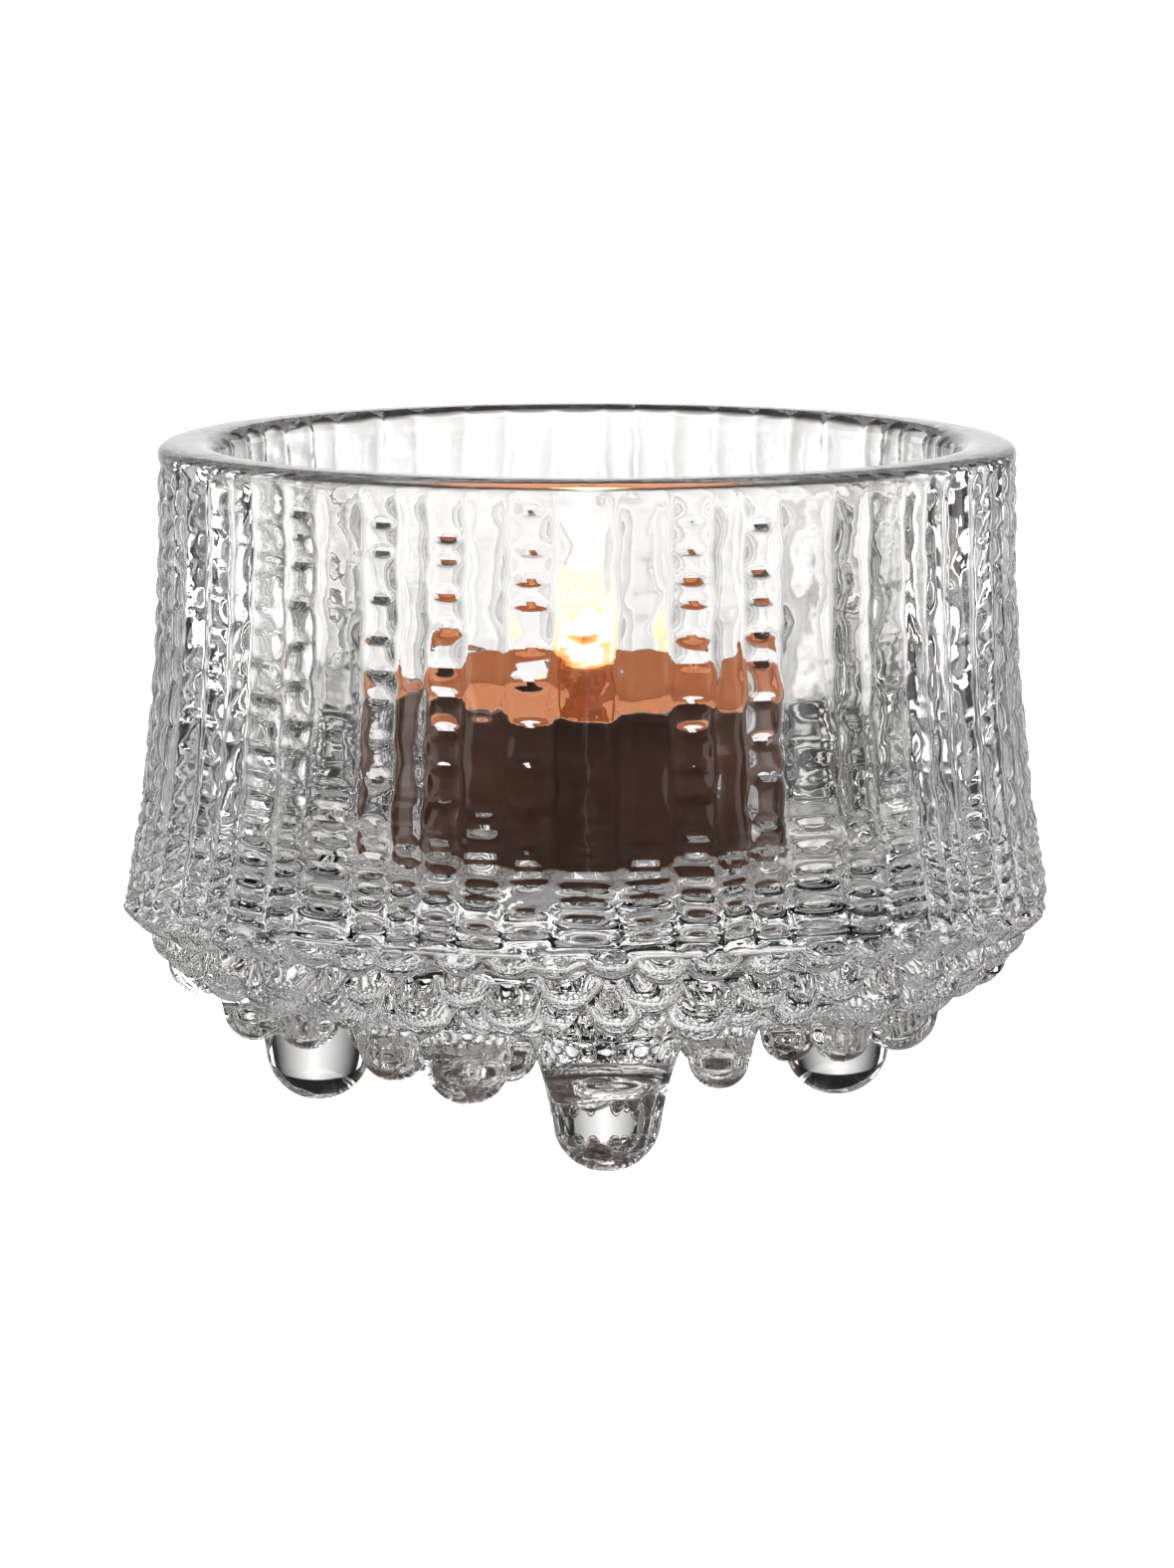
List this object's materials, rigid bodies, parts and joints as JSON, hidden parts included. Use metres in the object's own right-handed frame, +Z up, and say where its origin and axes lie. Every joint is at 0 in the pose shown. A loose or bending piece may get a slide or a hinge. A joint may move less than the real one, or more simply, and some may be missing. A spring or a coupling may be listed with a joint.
{
  "type": "tealight holder",
  "caption": "Pressed clear glass bowl with ribbed walls and a beaded, drop-footed underside, holding a tealight in a dark metal cup.",
  "frame": {"origin": "on the table under the middle of the bowl, at the level of the three foot tips", "axes": "+Z up, along the bowl's axis; -Y towards the front, where one foot stands 3.5 degrees to the right of the middle"},
  "size_m": [0.0882, 0.0882, 0.065],
  "materials": {
    "clear_glass": "clear, fire-polished",
    "cup_metal": "dark brown lacquer, satin",
    "wax": "warm, half-clear paraffin wax",
    "sustainer_steel": "tinned, dull",
    "wick_cotton": "charred braided cotton"
  },
  "bodies": {
    "holder": {"glass_holder": "clear_glass"},
    "tealight": {"tealight_cup": "cup_metal"},
    "candle": {"wax_puck": "wax", "wick_sustainer": "sustainer_steel", "wick": "wick_cotton"}
  },
  "joints": [
    {"name": "tealight_lift", "type": "slide", "parent": "holder", "child": "tealight", "axis": [0, 0, 1], "range_m": [0, 0.055]},
    {"name": "candle_lift", "type": "slide", "parent": "tealight", "child": "candle", "axis": [0, 0, 1], "range_m": [0, 0.022]}
  ]
}
